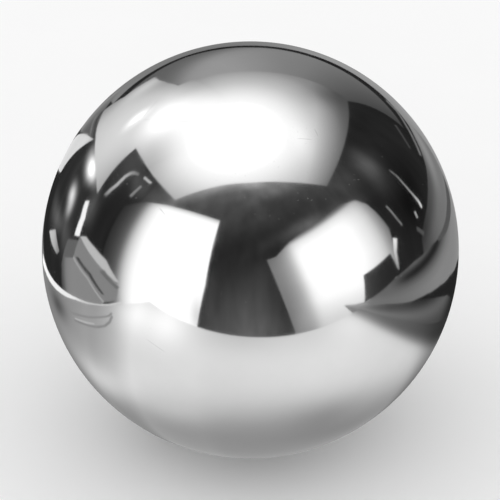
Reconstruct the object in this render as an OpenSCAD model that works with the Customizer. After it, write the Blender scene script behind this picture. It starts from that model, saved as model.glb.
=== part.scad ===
// Polished steel ball
//
// One solid piece, ground and lapped to a true sphere with no flat, hole or seam.
// Millimetres, +Z up, with the origin at the centre of the ball.

/* [Ball] */
// Diameter of the ball
ball_d = 50; // [3:0.5:150]

/* [Hidden] */
// Segments round a great circle when the ball is drawn
great_circle_segments = 180;

// The ball itself: a full sphere about the origin.
module ball() {
    color("silver")
        sphere(d = ball_d, $fn = great_circle_segments);
}

ball();
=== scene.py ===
"""A mirror-polished steel ball on a pale floor, in a plain studio of soft light cards."""

from __future__ import annotations

import logging
import math
from dataclasses import dataclass
from enum import Enum
from typing import Any, Union

import bpy
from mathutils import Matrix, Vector

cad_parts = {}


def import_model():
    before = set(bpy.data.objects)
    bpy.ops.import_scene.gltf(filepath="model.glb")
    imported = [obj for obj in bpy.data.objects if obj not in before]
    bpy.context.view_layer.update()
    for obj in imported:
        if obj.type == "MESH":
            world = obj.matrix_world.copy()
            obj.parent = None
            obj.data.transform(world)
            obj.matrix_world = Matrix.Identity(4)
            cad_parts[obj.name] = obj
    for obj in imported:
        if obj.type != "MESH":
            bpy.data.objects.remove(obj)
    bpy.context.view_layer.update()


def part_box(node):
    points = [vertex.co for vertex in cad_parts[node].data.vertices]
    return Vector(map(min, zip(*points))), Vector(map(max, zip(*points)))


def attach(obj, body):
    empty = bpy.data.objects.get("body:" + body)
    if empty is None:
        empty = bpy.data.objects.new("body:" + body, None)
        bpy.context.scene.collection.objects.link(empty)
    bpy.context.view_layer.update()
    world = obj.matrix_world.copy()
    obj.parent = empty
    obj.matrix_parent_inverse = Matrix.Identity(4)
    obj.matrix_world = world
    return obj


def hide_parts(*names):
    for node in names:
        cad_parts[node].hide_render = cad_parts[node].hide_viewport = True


LOG = logging.getLogger("steel_ball")

BODY = "root"
NODE = "ball"
SLOT = "polished_steel"
MM = 0.001
TO_DEGREES = math.degrees(1.0)
QUARTER_TURN = 90.0

# Sizes of the stage, in metres
DRAPE_RADIUS = 20.0
FLOOR_RADIUS = 3.0
# How far past its ends a fade holds its level, in degrees, so that its smooth curve settles there
HOLD = 1.0
# The middle of a noise texture's range
NOISE_MIDDLE = 0.5
# How far a patch lies over the table top, in ball radii, so that it hides what is under it
LIP_LIFT = 0.0005
LINE_LIFT = 0.001

Pair = tuple[float, float]
Stops = tuple[Pair, ...]
Points = tuple[Pair, ...]


@dataclass(frozen=True)
class Heading:
    """A direction out of the ball's centre, in degrees.

    Azimuth is 0 towards the camera and grows to the right of the picture; elevation is above the horizon.
    """

    azimuth: float
    elevation: float

    def vector(self) -> Vector:
        """Works the heading out as a vector.

        Returns:
            Its unit vector in the part's frame.
        """
        turn = math.radians(self.azimuth)
        rise = math.radians(self.elevation)
        return Vector((math.cos(rise) * math.sin(turn), -math.cos(rise) * math.cos(turn), math.sin(rise)))

    def right(self) -> Vector:
        """The level unit vector to the right of the heading."""
        return Heading(self.azimuth + QUARTER_TURN, 0.0).vector()

    def axes(self, turn: float) -> tuple[Vector, Vector]:
        """Two unit vectors square to the heading and to each other.

        Args:
            turn: how far the first one tips up from the level, in degrees.

        Returns:
            The one that runs to the right, tipped, and the one that runs up from it.
        """
        middle = self.vector()
        level = self.right()
        upward = middle.cross(level)
        tilt = math.radians(turn)
        along = level * math.cos(tilt) + upward * math.sin(tilt)
        return along, middle.cross(along)


ZENITH = Heading(0.0, 90.0)


@dataclass(frozen=True)
class Wire:
    """An output socket whose arithmetic is written as a Python expression."""

    bench: "Bench"
    socket: bpy.types.NodeSocket

    def __add__(self, other: "Number") -> "Wire":
        """This value plus another."""
        return self.bench.maths("ADD", self, other)

    def __radd__(self, other: "Number") -> "Wire":
        """Another value plus this one."""
        return self.bench.maths("ADD", other, self)

    def __sub__(self, other: "Number") -> "Wire":
        """This value less another."""
        return self.bench.maths("SUBTRACT", self, other)

    def __rsub__(self, other: "Number") -> "Wire":
        """Another value less this one."""
        return self.bench.maths("SUBTRACT", other, self)

    def __mul__(self, other: "Number") -> "Wire":
        """This value times another."""
        return self.bench.maths("MULTIPLY", self, other)

    def __rmul__(self, other: "Number") -> "Wire":
        """Another value times this one."""
        return self.bench.maths("MULTIPLY", other, self)

    def __truediv__(self, other: "Number") -> "Wire":
        """This value over another."""
        return self.bench.maths("DIVIDE", self, other)

    def __rpow__(self, other: "Number") -> "Wire":
        """Another value raised to this one."""
        return self.bench.maths("POWER", other, self)

    def __gt__(self, other: "Number") -> "Wire":
        """1 where this value is above another, and 0 elsewhere."""
        return self.bench.maths("GREATER_THAN", self, other)

    def __abs__(self) -> "Wire":
        """The size of this value without its sign."""
        return self.bench.maths("ABSOLUTE", self, 0.0)

    def clamped(self) -> "Wire":
        """This value held between 0 and 1."""
        return self.bench.maths("MINIMUM", self.bench.maths("MAXIMUM", self, 0.0), 1.0)


Number = Union[Wire, float]


class Bench:
    """A node tree under construction."""

    def __init__(self, tree: bpy.types.NodeTree, output: str) -> None:
        """Clears the tree and adds its output node.

        Args:
            tree: the material's or the world's node tree.
            output: the type of its output node.
        """
        self.tree = tree
        tree.nodes.clear()
        self.end = tree.nodes.new(output)

    @classmethod
    def for_material(cls, name: str) -> tuple["Bench", bpy.types.Material]:
        """Makes a new material with an empty bench.

        Args:
            name: the material's name.

        Returns:
            The bench and the material.
        """
        material = bpy.data.materials.new(name)
        material.use_nodes = True
        return cls(material.node_tree, "ShaderNodeOutputMaterial"), material

    def add(self, kind: str, settings: dict[str, Any], sockets: dict[Any, Any], out: Any = 0) -> Wire:
        """Adds any node.

        Args:
            kind: the node's type.
            settings: its properties, set first; "stops" fills a colour ramp with (place, level) pairs.
            sockets: values or wires for its inputs, by name or number.
            out: the output to return, by name or number.

        Returns:
            The wire of that output.
        """
        node = self.tree.nodes.new(kind)
        for key, value in settings.items():
            if key == "stops":
                self._set_stops(node.color_ramp, value)
            else:
                setattr(node, key, value)
        for key, value in sockets.items():
            if isinstance(value, Wire):
                self.tree.links.new(value.socket, node.inputs[key])
            else:
                node.inputs[key].default_value = value
        return Wire(self, node.outputs[out])

    @staticmethod
    def _set_stops(ramp: bpy.types.ColorRamp, stops: Stops) -> None:
        """Fills a colour ramp with grey stops, joined by a smooth curve.

        Args:
            ramp: the ramp, which has two stops at first.
            stops: (place, level) pairs in rising order, each from 0 to 1.
        """
        ramp.interpolation = "B_SPLINE"
        while len(ramp.elements) < len(stops):
            ramp.elements.new(1.0)
        for element, (place, level) in zip(ramp.elements, stops):
            element.position = place
            element.color = (level, level, level, 1.0)

    def maths(self, operation: str, first: Number, second: Number) -> Wire:
        """Adds one Math node."""
        return self.add("ShaderNodeMath", {"operation": operation}, {0: first, 1: second})

    def dot(self, vector: Wire, direction: Vector) -> Wire:
        """The length of a vector along a fixed direction."""
        sockets = {0: vector, 1: direction}
        return self.add("ShaderNodeVectorMath", {"operation": "DOT_PRODUCT"}, sockets, "Value")

    def place(self) -> Wire:
        """Object coordinates, in metres from the ball's centre."""
        return self.add("ShaderNodeTexCoord", {}, {}, "Object")

    def outward(self) -> Wire:
        """The unit vector from the ball's centre."""
        return self.add("ShaderNodeVectorMath", {"operation": "NORMALIZE"}, {0: self.place()}, "Vector")

    def grey(self, level: Wire) -> Wire:
        """A grey colour of a level."""
        return self.add("ShaderNodeCombineColor", {}, {"Red": level, "Green": level, "Blue": level})

    def shine(self, level: Number) -> None:
        """Ends the tree with light of a level.

        Args:
            level: how bright the surface is; 1 is white.
        """
        colour = self.grey(level) if isinstance(level, Wire) else (level, level, level, 1.0)
        self.finish(self.add("ShaderNodeEmission", {}, {"Color": colour, "Strength": 1.0}))

    def finish(self, shader: Wire) -> None:
        """Plugs a shader into the output."""
        self.tree.links.new(shader.socket, self.end.inputs["Surface"])


class Along(Enum):
    """The angle that light changes along."""

    AZIMUTH = "azimuth"
    ELEVATION = "elevation"
    FROM_HEADING = "angle from a heading"
    AROUND = "turn about a heading, from above it to its right"


@dataclass(frozen=True)
class Fade:
    """How light changes along one angle, as (degrees, level) stops.

    An azimuth is read about the middle of its stops, so that a fade may cross the back of the set. A leaning
    fade shifts by that many degrees of azimuth for each degree of elevation.
    """

    along: Along
    stops: Stops
    heading: Heading = ZENITH
    lean: float = 0.0

    def wire(self, bench: Bench) -> Wire:
        """Adds the fade's nodes.

        Args:
            bench: the material's bench.

        Returns:
            The level, from the fade's stops.
        """
        low = self.stops[0][0] - HOLD
        span = self.stops[-1][0] + HOLD - low
        first = (0.0, self.stops[0][1])
        last = (1.0, self.stops[-1][1])
        stops = tuple(((angle - low) / span, level) for angle, level in self.stops)
        factor = (self._degrees(bench) - low) / span
        return bench.add("ShaderNodeValToRGB", {"stops": (first, *stops, last)}, {"Fac": factor}, "Color")

    def _degrees(self, bench: Bench) -> Wire:
        """Adds the nodes that measure the angle.

        Args:
            bench: the material's bench.

        Returns:
            The angle in degrees.
        """
        outward = bench.outward()
        if self.along is Along.FROM_HEADING:
            facing = bench.dot(outward, self.heading.vector())
            return bench.maths("ARCCOSINE", facing, 0.0) * TO_DEGREES
        if self.along is Along.AROUND:
            level, upward = self.heading.axes(0.0)
            side = bench.dot(outward, level)
            return bench.maths("ARCTAN2", side, bench.dot(outward, upward)) * TO_DEGREES
        height = bench.dot(outward, ZENITH.vector())
        rise = bench.maths("ARCSINE", height, 0.0) * TO_DEGREES
        if self.along is Along.ELEVATION:
            return rise
        middle = Heading((self.stops[0][0] + self.stops[-1][0]) / 2, 0.0)
        aside = bench.dot(outward, middle.right())
        turn = bench.maths("ARCTAN2", aside, bench.dot(outward, middle.vector())) * TO_DEGREES
        return turn + middle.azimuth + rise * self.lean


@dataclass(frozen=True)
class Spot:
    """A soft oval about a heading, down to half at its half-widths, in degrees."""

    heading: Heading
    wide: float
    tall: float
    turn: float = 0.0

    def wire(self, bench: Bench) -> Wire:
        """Adds the spot's nodes.

        Args:
            bench: the material's bench.

        Returns:
            The level: 1 at the middle of the spot, falling to 0 all round.
        """
        outward = bench.outward()
        along, upward = self.heading.axes(self.turn)
        across = bench.dot(outward, along) * (TO_DEGREES / self.wide)
        height = bench.dot(outward, upward) * (TO_DEGREES / self.tall)
        near_side = bench.dot(outward, self.heading.vector()) > 0.0
        return 0.5 ** (across * across + height * height) * near_side


@dataclass(frozen=True)
class Layer:
    """One part of a card's light: a level times any number of fades and spots."""

    level: float
    shapes: tuple[Union[Fade, Spot], ...] = ()

    def wire(self, bench: Bench) -> Number:
        """Adds the layer's nodes.

        Args:
            bench: the material's bench.

        Returns:
            The light of the layer.
        """
        product: Number = self.level
        for shape in self.shapes:
            product = shape.wire(bench) * product
        return product


@dataclass(frozen=True)
class Glow:
    """The painted light of a card: the sum of its layers, given out evenly in all directions."""

    layers: tuple[Layer, ...]

    def wire(self, bench: Bench) -> Number:
        """Adds the nodes of all the layers.

        Args:
            bench: the material's bench.

        Returns:
            The light of the card.
        """
        total: Number = 0.0
        for layer in self.layers:
            total = layer.wire(bench) + total
        return total

    def material(self, name: str) -> bpy.types.Material:
        """Makes the card's material.

        Args:
            name: the card's name.

        Returns:
            The material.
        """
        bench, material = Bench.for_material(name)
        bench.shine(self.wire(bench))
        return material


def light(level: float, *shapes: Union[Fade, Spot]) -> Glow:
    """A glow of one layer, which is even where no shape is given."""
    return Glow((Layer(level, shapes),))


def oval(level: float, heading: Heading, wide: float, tall: float, turn: float = 0.0) -> Layer:
    """A layer of one spot."""
    return Layer(level, (Spot(heading, wide, tall, turn),))


def deselect() -> None:
    """Leaves Blender in object mode with nothing selected."""
    if bpy.context.object and bpy.context.object.mode != "OBJECT":
        bpy.ops.object.mode_set(mode="OBJECT")
    bpy.ops.object.select_all(action="DESELECT")


def mirror_only(thing: bpy.types.Object) -> None:
    """Keeps a piece of the set out of every view but the ball's mirror.

    Args:
        thing: the piece of the set.
    """
    thing.visible_camera = False
    thing.visible_diffuse = False
    thing.visible_shadow = False


class Row(Enum):
    """A row that cards hang in, by its distance from the ball in metres.

    All are so far off that little but a card's direction matters, and a near row hides those behind it.
    """

    FRONT = 4.0
    BOARD_TOP = 4.2
    SCRIM_EDGE = 4.3
    BOARD_FACE = 4.4
    GREY_WEDGE = 4.5
    BOARD_FOOT = 4.6
    BOARD_END = 4.7
    # The row of the painted shadow under the bench's edge
    BENCH_TRIM = 4.8
    BENCH_EDGE = 4.9
    BENCH_TOP = 5.0
    BENCH_SIDE = 5.5
    RIGHT_FLOOR = 7.0
    REAR_FLOOR = 8.0
    WIDE = 12.0
    REAR_SCRIM = 14.0
    BACK = 16.0


@dataclass
class Patch:
    """A strip of squares, of painted light or shade, that the ball mirrors.

    Its upper and lower edges have as many points each.
    """

    name: str
    upper: Points
    lower: Points
    glow: Glow

    def corner(self, point: Pair, radius: float) -> Vector:
        """A point of an edge in metres, which each kind of patch works out in its own way."""
        raise NotImplementedError

    def build(self, radius: float) -> bpy.types.Object:
        """Sets the patch in its place.

        Args:
            radius: the ball's radius in metres.

        Returns:
            The patch.
        """
        finish = self.glow.material(self.name)
        deselect()
        bpy.ops.mesh.primitive_grid_add(x_subdivisions=len(self.upper) - 1, y_subdivisions=1)
        strip = bpy.context.object
        strip.name = self.name
        for vertex, point in zip(strip.data.vertices, self.lower + self.upper):
            vertex.co = self.corner(point, radius)
        strip.data.materials.append(finish)
        mirror_only(strip)
        return strip


@dataclass
class Card(Patch):
    """A patch that hangs in one of the rows.

    The points of its edges are (azimuth, elevation) pairs, in degrees.
    """

    row: Row = Row.FRONT

    def corner(self, point: Pair, radius: float) -> Vector:
        """A point of an edge in metres, too far off for the ball's radius to matter."""
        return Heading(*point).vector() * self.row.value


@dataclass
class TableCard(Patch):
    """A patch that lies on the table top.

    The points of its edges are (right, towards the camera) pairs, in ball radii from where the ball stands.
    """

    lift: float = 0.0

    def corner(self, point: Pair, radius: float) -> Vector:
        """A point of an edge in metres."""
        right, near = point
        return Vector((right, -near, self.lift - 1.0)) * radius


@dataclass(frozen=True)
class Hairline:
    """A fine scratch in the polish, from one point of the surface to another.

    Its ends fade over a share of its half length, the tip.
    """

    start: Heading
    end: Heading
    width: float = 0.15 * MM
    tip: float = 1 / 3

    def mask(self, bench: Bench, outward: Wire, radius: float) -> Wire:
        """Adds the nodes that draw the scratch.

        Args:
            bench: the material's bench.
            outward: the unit vector from the ball's centre.
            radius: the ball's radius in metres.

        Returns:
            1 along the scratch, fading to 0 at its sides and ends.
        """
        start = self.start.vector()
        end = self.end.vector()
        middle = (start + end).normalized()
        run = (end - start).normalized()
        half_length = (end - start).length / 2
        half_width = self.width / 2 / radius
        along = abs(bench.dot(outward, run)) / half_length
        across = abs(bench.dot(outward, middle.cross(run))) / half_width
        near_side = bench.dot(outward, middle) > 0.0
        return (1.0 - across).clamped() * ((1.0 - along) / self.tip).clamped() * near_side


@dataclass(frozen=True)
class PolishedSteel:
    """Lapped and polished steel: a mirror with a little haze, fine scratches and dust."""

    reflectance: float = 0.74
    reflectance_spread: float = 0.03
    roughness: float = 0.055
    haze: float = 0.06
    haze_start: float = 0.35
    haze_size: float = 2.6 * MM
    waviness: float = 0.0004 * MM
    wave_size: float = 5.0 * MM
    scratch_depth: float = 0.001 * MM
    scratch_roughness: float = 0.12
    scratch_shade: float = 0.16
    dust_cell: float = 0.55 * MM
    dust_radius: float = 0.10 * MM
    dust_share: float = 0.5
    dust_everywhere: float = 0.06
    dust_cover: float = 0.22
    dust_shade: float = 0.5
    dust_patches: tuple[Spot, ...] = (
        Spot(Heading(-9.0, 45.0), 14.0, 3.5),
        Spot(Heading(28.0, 52.0), 14.0, 9.0),
        Spot(Heading(-40.0, 45.0), 9.0, 6.0),
    )
    scratches: tuple[Hairline, ...] = (
        Hairline(Heading(-70.0, 63.0), Heading(-64.5, 55.6)),
        Hairline(Heading(-64.5, 55.6), Heading(-66.9, 51.0)),
        Hairline(Heading(-63.1, 55.9), Heading(-60.2, 57.1)),
        Hairline(Heading(-44.4, 60.5), Heading(-34.2, 62.4)),
        Hairline(Heading(23.9, 58.1), Heading(31.7, 56.7)),
        Hairline(Heading(36.1, 59.6), Heading(35.5, 57.0)),
        Hairline(Heading(-31.5, 36.4), Heading(-28.1, 34.7)),
        Hairline(Heading(-29.2, 0.3), Heading(-23.2, -2.5)),
    )

    def material(self, name: str, radius: float) -> bpy.types.Material:
        """Makes the steel.

        Args:
            name: the material's name.
            radius: the ball's radius in metres.

        Returns:
            The material.
        """
        bench, material = Bench.for_material(name)
        place = bench.place()
        outward = bench.outward()
        mottle_sockets = {"Vector": place, "Scale": 1 / self.haze_size, "Detail": 3.0}
        mottle = bench.add("ShaderNodeTexNoise", {}, mottle_sockets)
        wave_sockets = {"Vector": place, "Scale": 1 / self.wave_size, "Detail": 1.0}
        wave = bench.add("ShaderNodeTexNoise", {}, wave_sockets)
        scratch: Number = 0.0
        for hairline in self.scratches:
            scratch = hairline.mask(bench, outward, radius) + scratch
        scratch = scratch.clamped()
        dust = self._dust(bench, place)
        polish = self.reflectance + (mottle - NOISE_MIDDLE) * self.reflectance_spread
        clean = bench.grey(polish * (1.0 - scratch * self.scratch_shade))
        dusty = (self.dust_shade, self.dust_shade, self.dust_shade, 1.0)
        mix = {"Factor": dust, "A": clean, "B": dusty}
        colour = bench.add("ShaderNodeMix", {"data_type": "RGBA"}, mix, "Result")
        haze = (mottle - self.haze_start).clamped() * self.haze
        roughness = self.roughness + haze + scratch * self.scratch_roughness
        relief = wave * self.waviness - scratch * self.scratch_depth
        bump = bench.add("ShaderNodeBump", {}, {"Strength": 1.0, "Distance": 1.0, "Height": relief})
        sockets = {"Base Color": colour, "Metallic": 1.0 - dust, "Roughness": roughness, "Normal": bump}
        bench.finish(bench.add("ShaderNodeBsdfPrincipled", {}, sockets))
        return material

    def _dust(self, bench: Bench, place: Wire) -> Wire:
        """Adds the nodes for dust that lies thin all over and thicker in patches on the upper half.

        Args:
            bench: the material's bench.
            place: object coordinates.

        Returns:
            The share of the surface that dust covers.
        """
        sockets = {"Vector": place, "Scale": 1 / self.dust_cell}
        distance = bench.add("ShaderNodeTexVoronoi", {}, sockets, "Distance") * self.dust_cell
        draw = bench.add("ShaderNodeTexVoronoi", {}, sockets, "Color")
        lot = bench.add("ShaderNodeSeparateColor", {}, {"Color": draw}, "Red")
        patches: Number = self.dust_everywhere
        for patch in self.dust_patches:
            patches = patch.wire(bench) + patches
        kept = lot > 1.0 - patches * self.dust_share
        speck = (1.0 - distance / self.dust_radius).clamped()
        return speck * kept * self.dust_cover


@dataclass
class Ball:
    """The steel ball: a cube cut into squares and rounded to a true sphere."""

    radius: float
    cuts: int = 3
    levels: int = 4
    finish: PolishedSteel = PolishedSteel()
    name: str = "polished_ball"

    @classmethod
    def from_frame(cls) -> "Ball":
        """Takes the ball's size from its CAD node."""
        low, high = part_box(NODE)
        return cls(radius=(high.z - low.z) / 2)

    def build(self) -> bpy.types.Object:
        """Models the ball, dresses it and sets it on its body.

        Returns:
            The ball.
        """
        deselect()
        bpy.ops.mesh.primitive_cube_add(size=2 * self.radius)
        ball = bpy.context.object
        ball.name = self.name
        bpy.ops.object.mode_set(mode="EDIT")
        bpy.ops.mesh.select_all(action="SELECT")
        bpy.ops.mesh.subdivide(number_cuts=self.cuts)
        bpy.ops.transform.tosphere(value=1.0)
        bpy.ops.object.mode_set(mode="OBJECT")
        self._smooth(ball)
        self._true(ball)
        bpy.ops.object.shade_smooth()
        ball.data.materials.append(self.finish.material(SLOT, self.radius))
        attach(ball, BODY)
        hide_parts(NODE)
        return ball

    def _smooth(self, ball: bpy.types.Object) -> None:
        """Subdivides the ball as a smooth surface.

        Args:
            ball: the ball.
        """
        surface = ball.modifiers.new("smooth", "SUBSURF")
        surface.levels = self.levels
        surface.render_levels = self.levels
        bpy.ops.object.modifier_apply(modifier=surface.name)

    def _true(self, ball: bpy.types.Object) -> None:
        """Draws every point to the ball's radius.

        Args:
            ball: the ball.
        """
        cast = ball.modifiers.new("true", "CAST")
        cast.cast_type = "SPHERE"
        cast.factor = 1.0
        cast.use_radius_as_size = False
        cast.size = self.radius
        bpy.ops.object.modifier_apply(modifier=cast.name)


@dataclass(frozen=True)
class PaleCoat:
    """The matt pale finish of the floor."""

    shade: float = 0.95
    grain: float = 0.02
    grain_size: float = 15.0 * MM
    roughness: float = 0.9

    def material(self, name: str) -> bpy.types.Material:
        """Makes the coat.

        Args:
            name: the material's name.

        Returns:
            The material.
        """
        bench, material = Bench.for_material(name)
        sockets = {"Vector": bench.place(), "Scale": 1 / self.grain_size, "Detail": 4.0}
        speckle = bench.add("ShaderNodeTexNoise", {}, sockets)
        colour = bench.grey(self.shade + (speckle - NOISE_MIDDLE) * self.grain)
        sockets = {"Base Color": colour, "Roughness": self.roughness, "Specular IOR Level": 0.0}
        bench.finish(bench.add("ShaderNodeBsdfPrincipled", {}, sockets))
        return material


@dataclass
class Floor:
    """The pale floor that the ball stands on, just under the table top that its mirror shows."""

    radius: float
    coat: PaleCoat = PaleCoat()
    corners: int = 64
    drop: float = 0.05 * MM
    name: str = "floor"

    def build(self) -> bpy.types.Object:
        """Lays the floor at the ball's foot.

        Returns:
            The floor.
        """
        deselect()
        bpy.ops.mesh.primitive_circle_add(vertices=self.corners, radius=FLOOR_RADIUS, fill_type="NGON")
        floor = bpy.context.object
        floor.name = self.name
        for vertex in floor.data.vertices:
            vertex.co.z = -self.radius - self.drop
        floor.data.materials.append(self.coat.material(self.name))
        floor.visible_glossy = False
        return floor


@dataclass
class Drape:
    """The dark cloth round the set, in soft upright folds, which glows with a little painted light."""

    glow: Glow
    # How strongly the painted fold shading brightens and darkens the cloth's glow
    fold: float = 0.5
    fold_scale: tuple[float, float, float] = (8.0, 8.0, 1.3)
    name: str = "dark_drape"

    def build(self) -> bpy.types.Object:
        """Hangs the cloth as a dome that only the ball's mirror shows.

        Returns:
            The drape.
        """
        deselect()
        bpy.ops.mesh.primitive_uv_sphere_add(radius=DRAPE_RADIUS)
        drape = bpy.context.object
        drape.name = self.name
        drape.data.materials.append(self._cloth())
        mirror_only(drape)
        return drape

    def _cloth(self) -> bpy.types.Material:
        """Makes the cloth's glow: its painted light, brightened and darkened by painted fold shading.

        Returns:
            The material.
        """
        bench, material = Bench.for_material(self.name)
        sockets = {"Vector": bench.outward(), "Scale": self.fold_scale}
        upright = bench.add("ShaderNodeMapping", {}, sockets, "Vector")
        # Painted fold shading: upright noise that brightens and darkens the cloth's painted light
        fold_shading = bench.add("ShaderNodeTexNoise", {}, {"Vector": upright, "Scale": 1.0, "Detail": 2.0})
        bench.shine(self.glow.wire(bench) * (1.0 + (fold_shading - NOISE_MIDDLE) * 2 * self.fold))
        return material


# Lights and their shapes: the scrims and softboxes stand for lamps, while the table, bench, floors, back
# sheet, boards, rails and drape glow with painted light and shade

FRONT = Heading(0.0, 0.0)
# The headings that the long lines of the bench on the right run to: its edges, and the streaks on its top
BENCH_RUN = Heading(48.0, -8.0)
BENCH_STREAKS = Heading(34.0, 0.0)

OVERHEAD = Glow((
    Layer(3.0, (
        Fade(Along.FROM_HEADING, (
            (0.0, 1.0), (19.0, 0.60), (22.0, 0.46), (24.5, 0.43), (27.5, 0.40), (30.5, 0.36),
            (33.5, 0.317), (36.5, 0.277), (39.5, 0.237), (42.5, 0.21), (45.5, 0.183), (48.5, 0.16),
            (51.5, 0.127), (55.0, 0.11), (60.0, 0.10), (70.0, 0.09)), Heading(-120.0, 82.0)),
        Fade(Along.AROUND, (
            (8.0, 1.03), (14.0, 1.12), (18.0, 1.20), (22.0, 1.23), (26.0, 1.12), (30.0, 0.97),
            (34.0, 0.81), (38.0, 0.63), (41.0, 0.48), (44.0, 0.41), (47.7, 0.40)), FRONT),
    )),
    Layer(0.62, (
        Fade(Along.AZIMUTH, (
            (-160.0, 0.0), (-154.0, 0.45), (-148.0, 0.85), (-140.0, 1.0), (-125.0, 1.0), (-112.0, 0.45),
            (-98.0, 0.0))),
        Fade(Along.ELEVATION, (
            (5.0, 0.85), (12.0, 0.95), (18.0, 1.0), (28.0, 1.0), (42.0, 0.9), (62.0, 0.0))),
    )),
    oval(0.62, Heading(-132.0, 43.0), 7.0, 6.0),
    oval(0.8, Heading(-136.8, 27.0), 3.6, 2.4, 130.0),
    oval(0.35, Heading(-158.0, 11.0), 5.0, 5.0),
    oval(0.16, Heading(105.0, 66.0), 8.0, 4.0),
    oval(-0.09, Heading(150.0, 40.0), 5.0, 8.0),
    oval(-0.1, Heading(-152.0, 39.0), 5.0, 5.0),
    oval(-0.12, Heading(-104.0, 48.0), 9.0, 8.0),
))

# Painted light on the grey sheet behind the ball
BACK_SHEET = light(
    0.4,
    Fade(Along.AZIMUTH, (
        (146.0, 0.14), (149.0, 0.18), (152.0, 0.23), (155.0, 0.28), (158.5, 0.34), (163.5, 0.46),
        (167.0, 0.53), (171.0, 0.64), (177.0, 0.71), (182.0, 0.80), (188.0, 0.92), (193.0, 1.0)), lean=0.25),
    Fade(Along.AZIMUTH, (
        (170.0, 1.0), (175.0, 0.92), (178.0, 0.76), (181.0, 0.60), (184.0, 0.47), (188.0, 0.39),
        (193.0, 0.35)), lean=-0.85),
)

LEFT_BOX = Glow((
    Layer(1.5, (
        Fade(Along.AZIMUTH, (
            (-90.0, 0.02), (-86.0, 0.03), (-82.0, 0.05), (-78.0, 0.09), (-75.5, 0.20), (-73.0, 0.45),
            (-71.0, 0.60), (-68.5, 0.76), (-66.0, 0.88), (-62.0, 1.0))),
        Fade(Along.FROM_HEADING, (
            (89.0, 0.2), (89.6, 0.4), (90.1, 0.56), (90.7, 0.72), (91.5, 0.85), (93.0, 1.0)),
            Heading(147.0, 47.7)),
    )),
    oval(-0.5, Heading(-28.0, -10.0), 3.0, 8.0),
))

RIGHT_BOX = Glow((
    Layer(1.5, (
        Fade(Along.AZIMUTH, (
            (12.0, 0.16), (20.0, 0.20), (24.0, 0.26), (27.5, 0.36), (30.3, 0.53), (32.5, 0.75),
            (35.0, 0.92), (39.0, 1.0)), lean=0.28),
        Fade(Along.AZIMUTH, (
            (60.0, 1.0), (66.0, 0.94), (71.0, 0.83), (77.0, 0.69), (81.0, 0.52), (83.6, 0.37),
            (87.0, 0.20), (90.0, 0.13)), lean=0.12),
        Fade(Along.ELEVATION, (
            (-24.0, 0.5), (-14.0, 0.62), (-8.0, 0.75), (-3.0, 0.9), (8.0, 1.0))),
        Fade(Along.FROM_HEADING, (
            (81.5, 0.08), (82.3, 0.13), (83.0, 0.24), (83.6, 0.38), (84.2, 0.55), (85.0, 0.70),
            (86.5, 0.80), (89.0, 0.92), (93.0, 1.0)), Heading(-118.0, 62.0)),
    )),
    oval(0.16, Heading(29.0, -15.0), 7.0, 9.0),
))

# Painted light on the drape: a faint even glow, brighter bands and soft spots of painted spill light, one
# patch of painted shade, and the bright ovals of a small lamp
CLOTH_PAINTED_LIGHT = Glow((
    Layer(0.6, (
        Fade(Along.FROM_HEADING, (
            (90.0, 1.0), (92.0, 0.66), (94.0, 0.38), (96.5, 0.2), (103.0, 0.1), (113.0, 0.055),
            (122.0, 0.0), (131.0, 0.0), (142.0, 0.05), (152.0, 0.095), (164.0, 0.16), (171.0, 0.22)),
            Heading(-173.0, 22.4)),
        Fade(Along.AZIMUTH, (
            (-80.0, 0.0), (-66.0, 0.2), (-58.0, 0.4), (-48.0, 0.6), (-38.0, 0.8), (-28.0, 1.0),
            (0.0, 1.0), (12.0, 0.6), (20.0, 0.3), (45.0, 0.3), (66.0, 0.0))),
    )),
    Layer(0.022),
    oval(1.85, Heading(-125.7, 8.9), 6.5, 2.0, 19.0),
    oval(1.0, Heading(-128.5, -3.4), 3.2, 1.9, 20.0),
    oval(0.45, Heading(-125.9, -5.8), 2.8, 1.9, 40.0),
    oval(0.022, Heading(-130.0, -2.0), 16.0, 12.0),
    oval(0.12, Heading(-137.0, -15.0), 8.2, 1.9, 17.0),
    oval(0.05, Heading(-121.0, -13.0), 5.0, 4.0),
    oval(0.09, Heading(-108.0, 6.5), 4.0, 5.0),
    oval(0.05, Heading(-90.0, 36.0), 13.0, 5.0),
    oval(0.05, Heading(-91.0, 33.0), 5.0, 3.0),
    oval(0.04, Heading(-108.0, 30.0), 6.0, 8.0),
    oval(0.09, Heading(104.5, 32.5), 5.0, 7.0),
    oval(0.06, Heading(45.0, 36.0), 20.0, 3.0),
    oval(0.06, Heading(37.0, 36.0), 6.0, 3.0),
    oval(0.13, Heading(26.0, 60.0), 9.0, 3.5),
    oval(0.16, Heading(12.0, 64.5), 9.0, 2.0),
    oval(0.018, Heading(30.0, 52.0), 25.0, 9.0),
    oval(0.05, Heading(80.0, 44.0), 10.0, 8.0),
    oval(-0.015, Heading(112.0, 8.0), 11.0, 8.0),
))

# Painted light on the table top: the ball's painted shadow round its foot, painted shade towards the left,
# the back and the right edge, and brighter and darker painted patches
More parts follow.
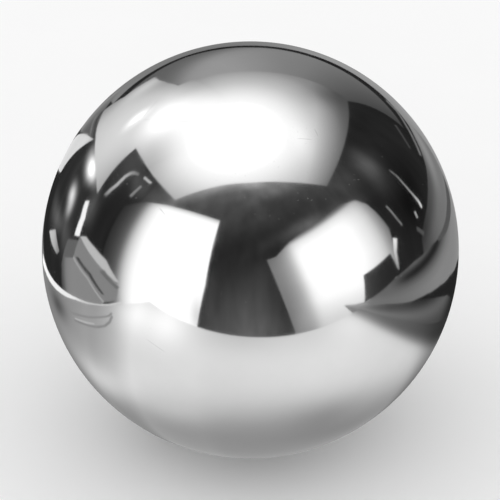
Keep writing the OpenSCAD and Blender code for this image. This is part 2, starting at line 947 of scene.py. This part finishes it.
TABLE_PAINTED_LIGHT = Glow((
    Layer(1.0, (
        Fade(Along.ELEVATION, (
            (-90.0, 0.45), (-76.0, 0.44), (-65.0, 0.40), (-55.0, 0.37), (-50.0, 0.40), (-45.0, 0.50),
            (-40.0, 0.72), (-36.0, 0.85), (-32.0, 0.91), (-24.0, 0.92), (-18.0, 0.88), (-10.0, 0.84))),
        Fade(Along.AZIMUTH, (
            (-180.0, 0.27), (-125.0, 0.27), (-118.0, 0.30), (-110.0, 0.36), (-104.0, 0.38), (-97.0, 0.41),
            (-90.0, 0.45), (-85.0, 0.50), (-80.0, 0.47), (-75.0, 0.54), (-70.0, 0.61), (-66.0, 0.67),
            (-62.0, 0.80), (-58.0, 0.93), (-54.0, 1.06), (-50.0, 1.12), (-45.0, 1.15), (-38.0, 1.14),
            (-30.0, 1.05), (-15.0, 0.91), (15.0, 0.91), (45.0, 0.97), (60.0, 0.96), (75.0, 0.95),
            (84.0, 0.92), (90.0, 0.80), (96.0, 0.62), (104.0, 0.45), (115.0, 0.35), (180.0, 0.27))),
        Fade(Along.FROM_HEADING, (
            (86.5, 0.13), (87.6, 0.17), (88.6, 0.28), (89.5, 0.45), (90.4, 0.70), (91.3, 0.88),
            (92.3, 0.95), (94.0, 1.0)), Heading(125.6, 51.8)),
    )),
    oval(0.15, Heading(-98.0, -54.0), 20.0, 10.0),
    oval(0.4, Heading(-79.0, -41.0), 13.0, 5.2),
    oval(0.42, Heading(-58.0, -13.0), 8.0, 6.0),
    oval(0.42, Heading(-39.5, -12.5), 8.5, 6.5),
    oval(0.16, Heading(48.0, -14.0), 10.0, 5.0),
    oval(0.12, Heading(20.0, -25.0), 40.0, 9.0),
    oval(-0.1, Heading(-6.0, -14.0), 14.0, 4.5),
    oval(-0.2, Heading(-110.0, -26.5), 7.0, 2.6),
    oval(-0.12, Heading(36.0, -43.0), 12.0, 5.0),
    oval(0.1, Heading(-36.0, -44.0), 11.0, 4.0),
    oval(-0.05, Heading(50.0, -54.0), 16.0, 6.0),
))

# Painted light on the bench top, changing across and along it, less a darker streak that runs along it
BENCH_TOP = Glow((
    Layer(0.52, (
        Fade(Along.AZIMUTH, (
            (52.0, 0.9), (58.0, 0.85), (62.5, 0.8), (65.0, 0.5), (68.0, 0.46), (75.0, 0.40),
            (92.0, 0.43), (112.0, 0.55), (125.0, 0.58), (135.0, 0.56), (150.0, 0.55), (166.0, 0.6))),
        Fade(Along.AROUND, ((101.0, 0.7), (109.0, 0.8), (113.0, 1.05), (116.0, 1.2)), BENCH_STREAKS),
    )),
    Layer(-0.22, (
        Fade(Along.AROUND, (
            (100.8, 0.0), (102.8, 0.9), (104.8, 1.0), (106.5, 0.6), (109.0, 0.0)), BENCH_STREAKS),
        Fade(Along.AZIMUTH, (
            (80.0, 0.0), (86.0, 0.4), (92.0, 0.7), (100.0, 0.8), (112.0, 0.9), (122.0, 1.0),
            (134.0, 0.7), (142.0, 0.3), (150.0, 0.0))),
    )),
))

# Painted light on the bench side: a painted highlight along its edge, and light that fades towards the back
BENCH_SIDE = Glow((
    Layer(0.21, (
        Fade(Along.AROUND, (
            (115.0, 0.0), (117.5, 0.35), (120.0, 1.0), (122.0, 0.8), (124.5, 0.42), (127.0, 0.5)),
            BENCH_RUN),
        Fade(Along.AZIMUTH, (
            (60.0, 1.0), (90.0, 0.85), (140.0, 0.8), (155.0, 0.3))),
    )),
    Layer(0.45, (
        Fade(Along.AZIMUTH, (
            (55.0, 1.0), (60.0, 0.85), (66.0, 0.5), (72.0, 0.33), (80.0, 0.22), (90.0, 0.18),
            (99.0, 0.113), (110.0, 0.047), (124.0, 0.013), (140.0, 0.007))),
        Fade(Along.AROUND, ((114.0, 1.0), (118.0, 0.6), (121.0, 0.35)), BENCH_RUN),
    )),
))

FLAG = light(
    0.09,
    Fade(Along.AZIMUTH, ((63.0, 1.0), (68.0, 0.6), (74.0, 0.38), (82.0, 0.28))),
)

# Painted light on the floor behind the table on the right, darker towards the horizon
REAR_FLOOR_RIGHT = Glow((
    Layer(0.25, (
        Fade(Along.ELEVATION, (
            (-24.0, 1.0), (-18.0, 0.95), (-14.0, 0.80), (-10.0, 0.85), (-7.0, 0.52), (-5.0, 0.42),
            (-3.0, 0.38))),
        Fade(Along.AZIMUTH, (
            (108.0, 0.35), (116.0, 0.55), (122.0, 0.8), (130.0, 1.0), (140.0, 1.05))),
    )),
    oval(0.17, Heading(152.0, -7.5), 9.0, 4.0),
))

# Painted light on the floor behind the table
REAR_FLOOR = light(
    0.38,
    Fade(Along.AZIMUTH, (
        (148.0, 0.5), (154.0, 0.75), (160.0, 0.9), (168.0, 0.97), (174.0, 0.95), (179.0, 0.62),
        (186.0, 0.55), (194.0, 0.68), (203.0, 0.75))),
)

WHITE_WEDGE = light(
    1.0,
    Fade(Along.AZIMUTH, (
        (-172.0, 0.85), (-160.0, 0.82), (-154.0, 0.85), (-148.0, 0.92), (-145.0, 0.8), (-142.0, 0.6))),
)

SMALL_WEDGE = light(
    0.75,
    Fade(Along.AZIMUTH, (
        (-147.0, 1.0), (-138.0, 0.9), (-132.0, 0.65), (-128.0, 0.4))),
)

REAR_LEFT = light(
    0.36,
    Fade(Along.AZIMUTH, (
        (-170.0, 0.9), (-164.0, 0.6), (-158.0, 0.42), (-152.0, 0.36), (-145.0, 0.33))),
)

BOARD_FOOT = light(
    0.32,
    Fade(Along.AZIMUTH, (
        (-125.0, 0.2), (-121.5, 0.4), (-118.0, 0.9), (-112.0, 1.0))),
)

RAIL = light(
    0.7,
    Fade(Along.ELEVATION, (
        (15.5, 0.3), (18.5, 0.8), (28.0, 1.0), (31.0, 0.75), (33.5, 0.5), (36.0, 0.2))),
)

STROKE = light(
    1.6,
    Fade(Along.ELEVATION, (
        (0.5, 1.0), (2.5, 0.85), (5.5, 0.44), (9.0, 0.34), (13.0, 0.28), (20.0, 0.16))),
)

LOW_STROKE = light(
    1.2,
    Fade(Along.ELEVATION, ((-7.0, 0.3), (-2.0, 0.5), (2.0, 0.7), (6.0, 1.0))),
)

# A painted highlight along the table's left edge
LIP_PAINTED_HIGHLIGHT = light(
    1.35,
    Fade(Along.AZIMUTH, (
        (-94.0, 0.85), (-90.0, 0.7), (-86.0, 0.6), (-80.0, 0.52), (-75.0, 0.6), (-70.0, 0.75))),
)

# The edge of the bench on the right, which its top and its side share
BENCH_EDGE: Points = (
    (50.4, -10.0), (57.0, -12.2), (64.4, -14.0), (77.2, -17.7), (85.8, -20.4), (96.0, -22.9),
    (104.2, -24.0), (121.3, -25.9), (141.4, -27.4), (160.8, -28.1), (170.0, -28.4))

OVERHEAD_CARDS: tuple[Card, ...] = (
    Card("overhead_scrim",
         ((-60.8, 42.6), (-59.0, 44.4), (-57.0, 46.4), (-49.5, 52.4), (-29.9, 61.5), (0.0, 65.2),
          (24.9, 64.2), (46.2, 59.3), (60.8, 52.8), (69.2, 47.2)),
         ((-88.4, 41.4), (-103.7, 38.3), (-115.4, 34.2), (-155.4, 30.5), (-162.4, 32.8), (-170.0, 35.0),
          (-180.0, 36.2), (166.0, 34.0), (156.2, 30.4), (147.2, 26.9)), OVERHEAD, Row.WIDE),
    Card("left_rear_scrim",
         ((-158.2, -5.6), (-157.2, -1.0), (-156.6, 3.0), (-161.8, 7.2), (-158.9, 14.2), (-156.5, 23.0),
          (-155.4, 30.5), (-140.0, 44.0), (-124.0, 42.0), (-115.6, 34.0)),
         ((-157.8, -5.4), (-153.0, -2.2), (-147.0, 1.6), (-141.1, 5.1), (-137.0, 7.0), (-130.0, 9.8),
          (-123.2, 11.6), (-116.0, 12.3), (-109.6, 11.9), (-111.0, 18.5)), OVERHEAD, Row.REAR_SCRIM),
    Card("back_sheet",
         ((145.6, 30.0), (150.0, 36.0), (163.0, 40.0), (180.0, 44.0), (193.0, 42.0), (205.0, 40.0)),
         ((148.0, 1.0), (152.0, 0.8), (165.0, 1.0), (180.0, 1.8), (189.0, -0.6), (203.0, 3.6)),
         BACK_SHEET, Row.BACK),
)

FRONT_CARDS: tuple[Card, ...] = (
    Card("left_softbox",
         ((-88.0, 22.5), (-78.0, 31.8), (-63.9, 38.0), (-45.6, 42.2), (-22.3, 42.6)),
         ((-88.0, 7.0), (-78.0, 7.0), (-64.0, 7.0), (-45.0, 7.0), (-24.3, 7.1)), LEFT_BOX, Row.WIDE),
    Card("left_softbox_skirt",
         ((-88.0, 7.0), (-78.0, 7.0), (-64.0, 7.0), (-45.0, 7.0), (-24.3, 7.1)),
         ((-88.0, -12.0), (-76.0, -24.0), (-60.0, -24.0), (-45.0, -24.0), (-29.3, -24.0)),
         LEFT_BOX, Row.WIDE),
    Card("right_softbox",
         ((9.6, 22.6), (15.2, 23.9), (24.8, 30.6), (37.3, 34.0), (51.0, 36.0), (67.0, 36.6),
          (78.4, 32.4), (83.2, 27.0), (85.2, 21.4), (87.8, 11.4)),
         ((26.0, -25.0), (30.0, -25.0), (34.0, -25.0), (40.0, -25.0), (50.0, -25.0), (65.0, -25.0),
          (78.0, -22.0), (83.0, -14.0), (84.5, -9.0), (86.2, 4.0)), RIGHT_BOX, Row.WIDE),
)

RIGHT_CARDS: tuple[Card, ...] = (
    Card("flag", ((63.1, 1.0), (82.5, 2.4)), ((62.4, -12.0), (86.5, -8.2)), FLAG),
    Card("rear_right_floor",
         ((108.1, -6.1), (111.0, -4.2), (114.7, -3.2), (121.0, -2.9), (126.8, -2.7), (132.4, -3.0),
          (142.1, -4.3), (150.1, -4.8), (157.0, -7.0)),
         ((107.0, -18.0), (110.0, -18.0), (114.0, -19.0), (119.0, -20.0), (125.0, -21.0), (135.0, -22.0),
          (143.0, -23.0), (150.0, -25.0), (166.0, -28.0)), REAR_FLOOR_RIGHT, Row.RIGHT_FLOOR),
    Card("rear_right_line",
         ((158.4, -2.7), (156.4, -3.6), (151.2, -2.1), (146.1, -1.4), (141.3, -1.5)),
         ((160.3, -4.9), (158.4, -5.8), (153.0, -4.1), (147.9, -3.3), (143.0, -3.3)), light(0.2)),
    Card("rear_right_line_inner",
         ((144.0, 8.2), (141.6, 7.6), (139.2, 6.6), (137.4, 5.2)),
         ((145.2, 6.2), (142.9, 5.8), (140.6, 5.0), (138.8, 3.8)), light(0.07)),
    Card("right_bench",
         ((50.2, -9.6), (57.0, -11.2), (64.5, -12.0), (73.0, -9.8), (80.0, -9.0), (88.0, -8.8),
          (98.0, -9.1), (115.0, -11.7), (136.0, -16.4), (158.0, -20.6), (166.0, -24.0)),
         BENCH_EDGE, BENCH_TOP, Row.BENCH_TOP),
    # A painted shadow: a dark band along the far edge of the bench on the right
    Card("right_bench_painted_shadow",
         ((124.0, -13.6), (134.0, -15.4), (145.0, -17.0), (154.0, -18.6), (162.0, -20.5)),
         ((124.0, -14.6), (134.0, -17.4), (145.0, -19.4), (154.0, -21.0), (162.0, -22.5)),
         light(0.11), Row.BENCH_EDGE),
    # A painted shadow: a dark wedge under the edge of the bench on the right
    Card("bench_painted_shadow_wedge",
         ((100.0, -23.4), (110.6, -24.7), (126.2, -26.3), (143.2, -27.5), (160.8, -28.1), (172.0, -28.4)),
         ((100.5, -23.6), (110.6, -26.1), (126.2, -28.9), (143.2, -30.6), (160.0, -31.2), (172.0, -30.8)),
         light(0.02), Row.BENCH_TRIM),
    Card("right_bench_side", BENCH_EDGE,
         ((50.6, -10.2), (58.0, -18.0), (62.0, -27.0), (70.0, -38.0), (79.0, -46.0), (90.0, -53.0),
          (105.0, -60.0), (127.0, -66.0), (150.0, -66.0), (165.0, -55.0), (174.0, -42.0)),
         BENCH_SIDE, Row.BENCH_SIDE),
    Card("right_stroke",
         ((113.2, 21.1), (114.2, 16.1), (114.4, 12.8), (115.0, 9.1), (116.3, 5.2), (117.4, 2.0),
          (117.4, 0.1)),
         ((112.5, 21.4), (113.4, 16.5), (113.5, 13.2), (114.1, 9.6), (115.3, 5.7), (116.4, 2.4),
          (116.5, 0.5)), STROKE),
    Card("right_stroke_short",
         ((94.2, 18.2), (95.3, 14.0), (96.1, 10.5), (97.5, 6.6)),
         ((93.2, 18.4), (94.3, 14.2), (95.2, 10.7), (96.6, 6.8)), light(0.33)),
    Card("right_dash", ((109.6, 3.8), (110.8, 3.2)), ((109.6, 1.2), (110.8, 0.7)), light(0.6)),
    Card("right_block", ((107.0, -0.3), (112.0, -5.4)), ((106.2, -1.5), (110.4, -5.9)), light(0.11)),
    Card("right_stroke_low",
         ((87.5, 6.7), (85.3, 1.6), (85.0, -4.9)), ((90.2, 5.0), (87.2, 0.5), (86.5, -7.0)), LOW_STROKE),
    Card("rear_floor",
         ((150.0, -6.5), (160.0, -6.0), (170.0, -4.8), (180.0, -2.8), (188.0, -4.6), (203.0, -1.6)),
         ((150.0, -30.0), (158.0, -32.0), (168.0, -33.0), (176.0, -33.0), (183.0, -28.0), (186.0, -22.0)),
         REAR_FLOOR, Row.REAR_FLOOR),
)

LEFT_CARDS: tuple[Card, ...] = (
    Card("left_white_wedge",
         ((-142.0, 3.7), (-152.0, -5.9), (-161.0, -14.6), (-177.0, -27.2)),
         ((-142.3, 3.2), (-146.0, -3.1), (-151.1, -10.5), (-156.5, -17.4)), WHITE_WEDGE),
    Card("left_grey_wedge",
         ((-140.8, 5.3), (-150.5, -0.9), (-157.5, -5.2), (-166.0, -10.0)),
         ((-140.5, 5.0), (-152.0, -6.0), (-164.3, -17.2), (-175.0, -25.0)), REAR_LEFT, Row.GREY_WEDGE),
    Card("scrim_edge_shade",
         ((-142.0, 4.2), (-148.5, 0.0), (-155.5, -4.8), (-158.6, -6.2)),
         ((-143.8, 2.3), (-149.5, -1.3), (-156.2, -6.3), (-159.0, -7.4)), light(0.07), Row.SCRIM_EDGE),
    Card("scrim_edge_line",
         ((-147.8, -1.3), (-151.2, -3.4), (-155.7, -6.7), (-160.3, -9.8)),
         ((-148.3, -2.0), (-151.7, -4.3), (-156.4, -7.6), (-161.0, -10.8)), light(0.26), Row.SCRIM_EDGE),
    Card("left_strip",
         ((-114.5, 4.7), (-112.5, -0.3), (-112.9, -7.1)),
         ((-111.7, 6.8), (-108.7, 1.9), (-108.4, -5.0)), light(1.25)),
    Card("left_board",
         ((-103.0, -1.9), (-94.0, -1.4), (-84.5, -1.7), (-73.7, -6.9)),
         ((-107.8, -4.5), (-93.0, -5.6), (-85.0, -6.4), (-76.5, -7.6)), light(0.66), Row.BOARD_TOP),
    Card("left_board_face",
         ((-107.8, -4.6), (-93.0, -5.6), (-84.0, -6.6), (-75.8, -8.0), (-74.0, -11.0)),
         ((-110.4, -13.0), (-96.3, -14.6), (-90.0, -17.0), (-84.3, -19.5), (-75.6, -15.5)),
         light(0.30), Row.BOARD_FACE),
    Card("left_board_end",
         ((-118.1, -11.0), (-106.9, -5.6)), ((-123.7, -21.0), (-111.2, -15.2)), light(0.165), Row.BOARD_END),
    Card("left_board_streak",
         ((-105.8, -11.0), (-94.1, -11.8), (-83.7, -16.1)),
         ((-108.4, -12.2), (-96.1, -13.2), (-85.6, -16.6)), light(0.08)),
    Card("left_board_shade",
         ((-84.6, -6.0), (-78.0, -8.3), (-73.1, -8.9)),
         ((-88.0, -8.1), (-80.2, -9.6), (-74.9, -10.4)), light(0.2)),
    Card("left_board_line",
         ((-110.4, -12.7), (-96.3, -14.2), (-84.3, -19.1)),
         ((-110.8, -13.6), (-97.0, -15.1), (-85.0, -20.0)), light(0.5)),
    Card("left_board_foot",
         ((-122.0, -18.0), (-110.3, -13.3), (-97.0, -15.0), (-84.4, -20.0)),
         ((-126.0, -28.0), (-117.0, -28.0), (-100.0, -26.0), (-90.0, -23.0)), BOARD_FOOT, Row.BOARD_FOOT),
    Card("left_small_wedge",
         ((-146.0, -21.3), (-135.2, -16.8)), ((-130.0, -20.2), (-126.6, -18.3)), SMALL_WEDGE),
    Card("left_rail",
         ((-105.0, 15.4), (-103.0, 23.0), (-103.0, 28.3), (-102.2, 31.3), (-100.8, 33.2), (-97.0, 35.7)),
         ((-103.0, 16.0), (-101.0, 23.6), (-101.0, 28.7), (-100.2, 31.2), (-98.9, 32.7), (-95.5, 34.9)),
         RAIL),
    Card("left_rail_end", ((-92.2, 37.7), (-84.0, 39.7)), ((-91.3, 36.7), (-84.6, 38.4)), light(0.62)),
    Card("left_rail_stay", ((-89.8, 27.1), (-88.9, 34.2)), ((-87.8, 27.6), (-87.3, 34.4)), light(0.32)),
)

TABLE_CARDS: tuple[TableCard, ...] = (
    # The table top that the ball mirrors, with its light and the ball's shadow painted in
    TableCard("table_top_painted_light", ((-0.45, -3.25), (4.45, 3.16)), ((-0.75, -3.18), (-6.5, 5.14)), TABLE_PAINTED_LIGHT),
    # The painted highlight along the table's left edge
    TableCard("table_edge_painted_highlight",
              ((-1.52, -1.80), (-1.83, -1.58), (-2.13, -1.26), (-2.41, -0.92), (-2.65, -0.58),
               (-2.89, -0.21), (-3.09, 0.17), (-3.48, 0.80), (-3.89, 1.30), (-4.53, 1.97)),
              ((-1.38, -1.68), (-1.69, -1.46), (-1.99, -1.14), (-2.27, -0.80), (-2.52, -0.48),
               (-2.80, -0.15), (-3.01, 0.23), (-3.42, 0.84), (-3.83, 1.34), (-4.47, 2.03)), LIP_PAINTED_HIGHLIGHT, LIP_LIFT),
    TableCard("table_line",
              ((-2.19, -0.29), (-2.36, 0.01), (-2.52, 0.33), (-2.77, 0.73), (-2.98, 1.03), (-3.23, 1.20)),
              ((-2.13, -0.25), (-2.30, 0.05), (-2.46, 0.37), (-2.71, 0.77), (-2.92, 1.07), (-3.19, 1.26)),
              light(0.34), LINE_LIFT),
    TableCard("table_line_inner",
              ((-2.08, -0.14), (-2.13, 0.02), (-2.20, 0.25), (-2.29, 0.53), (-2.44, 0.78), (-2.66, 0.97),
               (-3.04, 1.16)),
              ((-2.02, -0.12), (-2.07, 0.04), (-2.14, 0.27), (-2.23, 0.57), (-2.38, 0.82), (-2.62, 1.03),
               (-3.00, 1.22)), light(0.33), LINE_LIFT),
    TableCard("table_gleam",
              ((-2.13, -0.12), (-2.19, 0.03), (-2.27, 0.25), (-2.35, 0.45)),
              ((-2.09, -0.11), (-2.14, 0.03), (-2.21, 0.26), (-2.31, 0.50)), light(0.62), LINE_LIFT),
)

CARDS: tuple[Patch, ...] = (
    OVERHEAD_CARDS + FRONT_CARDS + RIGHT_CARDS + LEFT_CARDS + TABLE_CARDS)


@dataclass
class Camera:
    """A long lens that looks down on the ball from the front."""

    elevation: float = 28.5
    distance: float = 0.6
    lens: float = 360.0
    sensor: float = 36.0
    shift_x: float = -0.0008
    shift_y: float = -0.0004

    def build(self) -> bpy.types.Object:
        """Sets the camera up and makes it the scene's own.

        Returns:
            The camera.
        """
        data = bpy.data.cameras.new("camera")
        data.lens = self.lens
        data.sensor_width = self.sensor
        data.shift_x = self.shift_x
        data.shift_y = self.shift_y
        camera = bpy.data.objects.new("camera", data)
        bpy.context.scene.collection.objects.link(camera)
        sight = Heading(0.0, self.elevation).vector()
        camera.location = sight * self.distance
        camera.rotation_euler = sight.to_track_quat("Z", "Y").to_euler()
        bpy.context.scene.camera = camera
        return camera


def light_world() -> None:
    """Makes the world an even white, which lights the floor from all sides."""
    world = bpy.data.worlds.new("white_world")
    world.use_nodes = True
    bench = Bench(world.node_tree, "ShaderNodeOutputWorld")
    bench.finish(bench.add("ShaderNodeBackground", {}, {"Color": (1.0, 1.0, 1.0, 1.0), "Strength": 1.0}))
    bpy.context.scene.world = world


def main() -> None:
    """Builds the ball, the studio and the camera."""
    logging.basicConfig(level=logging.INFO, format="%(name)s: %(message)s")
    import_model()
    bpy.context.scene.view_settings.view_transform = "Standard"
    light_world()
    Camera().build()
    ball = Ball.from_frame()
    piece = ball.build()
    LOG.info("%s: %d faces, radius %.4f m", piece.name, len(piece.data.polygons), ball.radius)
    LOG.info("%s laid", Floor(ball.radius).build().name)
    LOG.info("%s hung", Drape(CLOTH_PAINTED_LIGHT).build().name)
    for card in CARDS:
        LOG.info("%s set", card.build(ball.radius).name)


if __name__ == "__main__":
    main()
